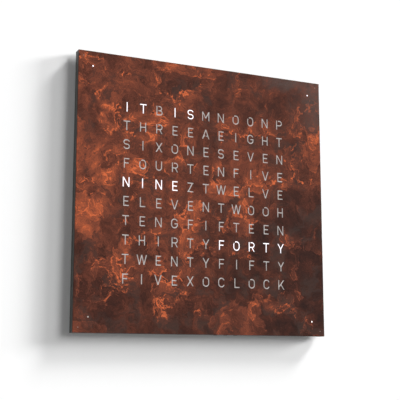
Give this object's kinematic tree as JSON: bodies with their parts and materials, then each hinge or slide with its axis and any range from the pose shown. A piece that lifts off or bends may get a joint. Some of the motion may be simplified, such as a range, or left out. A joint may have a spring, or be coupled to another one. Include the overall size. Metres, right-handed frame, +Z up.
{
  "type": "word clock",
  "caption": "Flat square wall clock that tells the time in lit words cut through a patinated metal cover, with a light point in each corner.",
  "frame": {"origin": "centre of the wall plate's screw pattern, on its back face against the wall", "axes": "+Z up, +X to the right of a viewer who faces the clock, +Y into the wall; the face looks along -Y"},
  "size_m": [0.45, 0.02, 0.4506],
  "materials": {
    "copper_patina": "steel sheet with a copper-brown patina: dark brown, red-brown and orange veins, clear sealed, satin",
    "opal_sheet": "white light-spreading sheet, matt",
    "dark_lacquer": "fibreboard ring under dark grey satin lacquer",
    "anodised_sheet": "dark anodised sheet, satin",
    "zinc_steel": "zinc-plated steel",
    "zinc_screws": "zinc-plated pan-head screws",
    "black_screws": "black-oxide pan-head screws",
    "bumper_rubber": "soft black rubber",
    "nickel_plate": "nickel plate",
    "board_laminate": "green solder mask over glass laminate",
    "lamp_bodies": "white lamp bodies with pale yellow faces",
    "white_moulding": "matt white moulding",
    "brass_turnings": "turned brass",
    "chip_resin": "black moulding resin with tinned legs",
    "lead_jacket": "dark grey lead insulation",
    "ribbon_jacket": "light grey ribbon insulation",
    "foam_pads": "dark foam",
    "black_moulding": "black moulding",
    "ivory_moulding": "ivory nylon moulding",
    "button_moulding": "dark grey fine-textured moulding",
    "ferrite": "dark sintered ferrite",
    "copper_winding": "enamelled copper wire",
    "capacitor_cans": "bare aluminium cans on black bases",
    "clear_pipe": "clear acrylic light pipe, polished ends",
    "spring_steel": "bright spring steel"
  },
  "bodies": {
    "wall_mount": {"wall_plate": "zinc_steel", "hanging_studs": "zinc_steel"},
    "clock_body": {"antenna_lead": "lead_jacket", "board_pads": "foam_pads", "board_screws": "zinc_screws", "board_spacers": "brass_turnings", "body_frame": "dark_lacquer", "cell_contact": "nickel_plate", "clock_crystal": "nickel_plate", "coin_cell": "nickel_plate", "coin_cell_holder": "black_moulding", "control_board": "board_laminate", "control_chip": "chip_resin", "control_screws": "zinc_screws", "control_spacers": "brass_turnings", "cover_magnets": "nickel_plate", "driver_chips": "chip_resin", "lamp_board": "board_laminate", "lead_connectors": "ivory_moulding", "letter_lamps": "lamp_bodies", "light_grid": "white_moulding", "light_sensor": "chip_resin", "minute_boards": "board_laminate", "minute_lamps": "lamp_bodies", "minute_leads": "lead_jacket", "minute_light_tubes": "white_moulding", "power_choke": "ferrite", "power_socket": "black_moulding", "radio_board": "board_laminate", "radio_chip": "chip_resin", "radio_coil": "copper_winding", "radio_rod": "ferrite", "rear_panel": "anodised_sheet", "rear_panel_screws": "black_screws", "ribbon_cable": "ribbon_jacket", "ribbon_connectors": "ivory_moulding", "rod_holders": "white_moulding", "sensor_board": "board_laminate", "sensor_lead": "lead_jacket", "sensor_window": "clear_pipe", "smoothing_capacitors": "capacitor_cans", "socket_pin": "brass_turnings", "switch_cases": "black_moulding", "voltage_regulator": "chip_resin", "wall_bumpers": "bumper_rubber"},
    "cover": {"front_cover": "copper_patina", "cover_diffuser": "opal_sheet", "locating_studs": "zinc_steel"},
    "hour_key": {"hour_button": "button_moulding", "hour_plunger": "ivory_moulding", "hour_dome": "spring_steel"},
    "minute_key": {"minute_button": "button_moulding", "minute_plunger": "ivory_moulding", "minute_dome": "spring_steel"},
    "mode_key": {"mode_button": "button_moulding", "mode_plunger": "ivory_moulding", "mode_dome": "spring_steel"}
  },
  "joints": [
    {"name": "lift_off_wall", "type": "slide", "parent": "wall_mount", "child": "clock_body", "axis": [0, 0, 1], "range_m": [0, 0.009]},
    {"name": "cover_pull", "type": "slide", "parent": "clock_body", "child": "cover", "axis": [0, -1, 0], "range_m": [0, 0.06]},
    {"name": "hour_press", "type": "slide", "parent": "clock_body", "child": "hour_key", "axis": [0, 0, 1], "range_m": [0, 0.0008], "stiffness_N_per_m": 500, "springref_m": -0.0006, "deforming": ["hour_dome"]},
    {"name": "minute_press", "type": "slide", "parent": "clock_body", "child": "minute_key", "axis": [0, 0, 1], "range_m": [0, 0.0008], "stiffness_N_per_m": 500, "springref_m": -0.0006, "deforming": ["minute_dome"]},
    {"name": "mode_press", "type": "slide", "parent": "clock_body", "child": "mode_key", "axis": [0, 0, 1], "range_m": [0, 0.0008], "stiffness_N_per_m": 500, "springref_m": -0.0006, "deforming": ["mode_dome"]}
  ]
}
